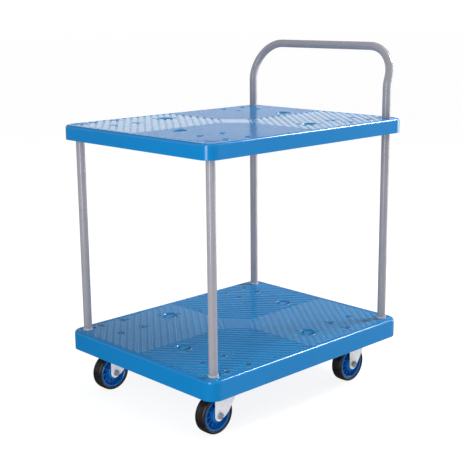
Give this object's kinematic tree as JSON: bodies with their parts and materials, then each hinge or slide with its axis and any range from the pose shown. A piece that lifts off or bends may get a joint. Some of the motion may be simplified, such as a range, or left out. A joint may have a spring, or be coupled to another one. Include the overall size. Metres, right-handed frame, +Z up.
{
  "type": "platform trolley",
  "caption": "Two-deck platform trolley: moulded trays on tube posts, a U push handle at one end, swivel casters at the other and rigid casters under the handle.",
  "frame": {"origin": "on the floor under the middle of the decks; the grip bar overhangs the rear end by 10 mm, so the box's middle is 5 mm further back", "axes": "+Z up, +X from the swivel caster end to the push handle end, +Y to the right hand of a person who pushes from the handle end"},
  "size_m": [0.72, 0.568, 0.922],
  "materials": {
    "blue_polypropylene": "moulded polypropylene, glossy, ribbed tread",
    "powder_coated_tube": "satin light grey powder coat",
    "zinc_plated_steel": "pressed steel, bright zinc plate",
    "bearing_steel": "polished",
    "grey_nylon": "moulded nylon",
    "black_rubber": "moulded rubber, grooved tread",
    "blue_hub_plastic": "moulded polypropylene"
  },
  "bodies": {
    "chassis": {"lower_deck": "blue_polypropylene", "upper_deck": "blue_polypropylene", "front_post_left": "powder_coated_tube", "front_post_right": "powder_coated_tube", "handle_frame": "powder_coated_tube", "post_collar_front_left": "grey_nylon", "post_collar_front_right": "grey_nylon", "post_collar_rear_left": "grey_nylon", "post_collar_rear_right": "grey_nylon", "tube_plugs": "zinc_plated_steel", "post_bolts": "zinc_plated_steel", "post_washers": "zinc_plated_steel", "deck_pins": "zinc_plated_steel", "caster_bolts": "zinc_plated_steel", "caster_washers": "zinc_plated_steel", "caster_nuts": "zinc_plated_steel", "front_left_top_plate": "zinc_plated_steel", "front_left_king_pin": "zinc_plated_steel", "front_right_top_plate": "zinc_plated_steel", "front_right_king_pin": "zinc_plated_steel", "rear_left_bracket": "zinc_plated_steel", "rear_left_axle_sleeve": "zinc_plated_steel", "rear_left_axle_washer": "zinc_plated_steel", "rear_left_axle_nut": "zinc_plated_steel", "rear_left_axle_bolt": "zinc_plated_steel", "rear_right_bracket": "zinc_plated_steel", "rear_right_axle_sleeve": "zinc_plated_steel", "rear_right_axle_washer": "zinc_plated_steel", "rear_right_axle_nut": "zinc_plated_steel", "rear_right_axle_bolt": "zinc_plated_steel"},
    "front_left_swivel": {"front_left_fork": "zinc_plated_steel", "front_left_ball_ring": "bearing_steel", "front_left_axle_sleeve": "zinc_plated_steel", "front_left_axle_washer": "zinc_plated_steel", "front_left_axle_nut": "zinc_plated_steel", "front_left_axle_bolt": "zinc_plated_steel"},
    "front_left_wheel": {"front_left_wheel_hub": "blue_hub_plastic", "front_left_tyre": "black_rubber", "front_left_wheel_bush": "grey_nylon"},
    "front_right_swivel": {"front_right_fork": "zinc_plated_steel", "front_right_ball_ring": "bearing_steel", "front_right_axle_sleeve": "zinc_plated_steel", "front_right_axle_washer": "zinc_plated_steel", "front_right_axle_nut": "zinc_plated_steel", "front_right_axle_bolt": "zinc_plated_steel"},
    "front_right_wheel": {"front_right_wheel_hub": "blue_hub_plastic", "front_right_tyre": "black_rubber", "front_right_wheel_bush": "grey_nylon"},
    "rear_left_wheel": {"rear_left_wheel_hub": "blue_hub_plastic", "rear_left_tyre": "black_rubber", "rear_left_wheel_bush": "grey_nylon"},
    "rear_right_wheel": {"rear_right_wheel_hub": "blue_hub_plastic", "rear_right_tyre": "black_rubber", "rear_right_wheel_bush": "grey_nylon"}
  },
  "joints": [
    {"name": "front_left_swivel_turn", "type": "hinge", "parent": "chassis", "child": "front_left_swivel", "pos_m": [-0.237, -0.207, 0.115], "axis": [0, 0, 1], "continuous": true},
    {"name": "front_left_wheel_spin", "type": "hinge", "parent": "front_left_swivel", "child": "front_left_wheel", "pos_m": [-0.28, -0.207, 0.05], "axis": [0, 1, 0], "continuous": true},
    {"name": "front_right_swivel_turn", "type": "hinge", "parent": "chassis", "child": "front_right_swivel", "pos_m": [-0.237, 0.207, 0.115], "axis": [0, 0, 1], "continuous": true},
    {"name": "front_right_wheel_spin", "type": "hinge", "parent": "front_right_swivel", "child": "front_right_wheel", "pos_m": [-0.28, 0.207, 0.05], "axis": [0, 1, 0], "continuous": true},
    {"name": "rear_left_wheel_spin", "type": "hinge", "parent": "chassis", "child": "rear_left_wheel", "pos_m": [0.225, -0.209, 0.05], "axis": [0, 1, 0], "continuous": true},
    {"name": "rear_right_wheel_spin", "type": "hinge", "parent": "chassis", "child": "rear_right_wheel", "pos_m": [0.225, 0.209, 0.05], "axis": [0, 1, 0], "continuous": true}
  ]
}
